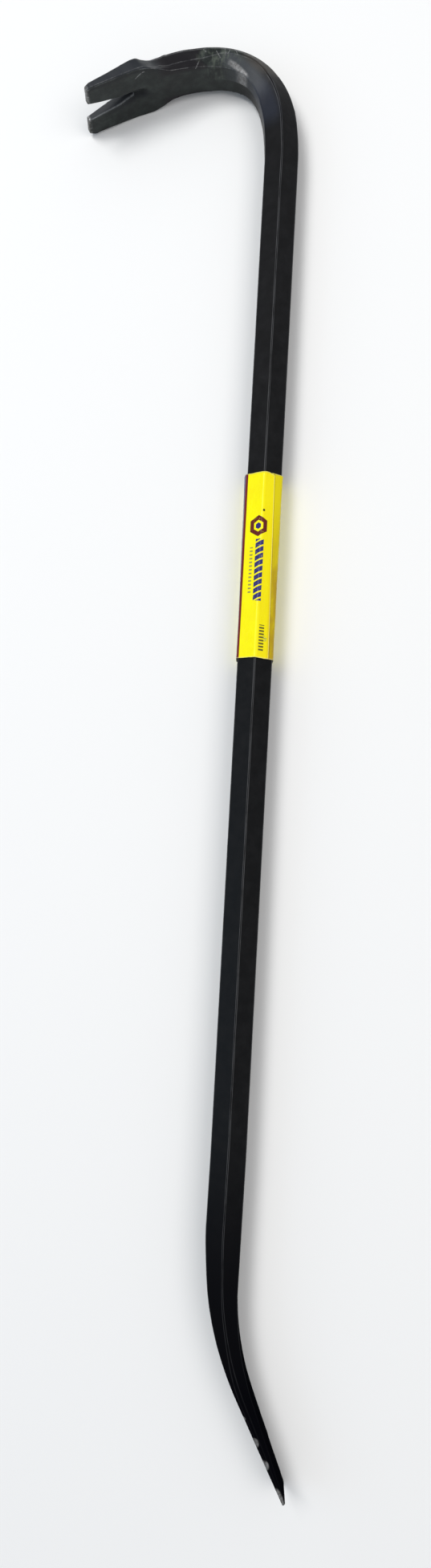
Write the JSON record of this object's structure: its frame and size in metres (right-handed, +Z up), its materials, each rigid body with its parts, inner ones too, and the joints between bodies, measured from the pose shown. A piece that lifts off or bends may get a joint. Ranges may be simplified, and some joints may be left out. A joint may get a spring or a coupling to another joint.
{
  "type": "gooseneck pry bar",
  "caption": "Long gooseneck pry bar forged from hexagonal bar, with a slotted nail-pulling claw, a flat chisel end and a loose printed film wrap on the shank.",
  "frame": {"origin": "on the floor under the middle of the bar's bounding box, with the bar lying on its side as it comes to rest", "axes": "+Y along the shank towards the claw end, +X towards the side the chisel points to (the claw points to -X), +Z up, across the plane of the bends to within 7 degrees"},
  "size_m": [0.1806, 0.9146, 0.0457],
  "materials": {
    "black_enamel": "satin black paint over forged steel, worn at the ridges, bend and tips",
    "printed_film": "glossy printed film, creased, lapped over itself"
  },
  "bodies": {
    "root": {"forged_bar": "black_enamel", "label_sleeve": "printed_film"}
  },
  "joints": []
}
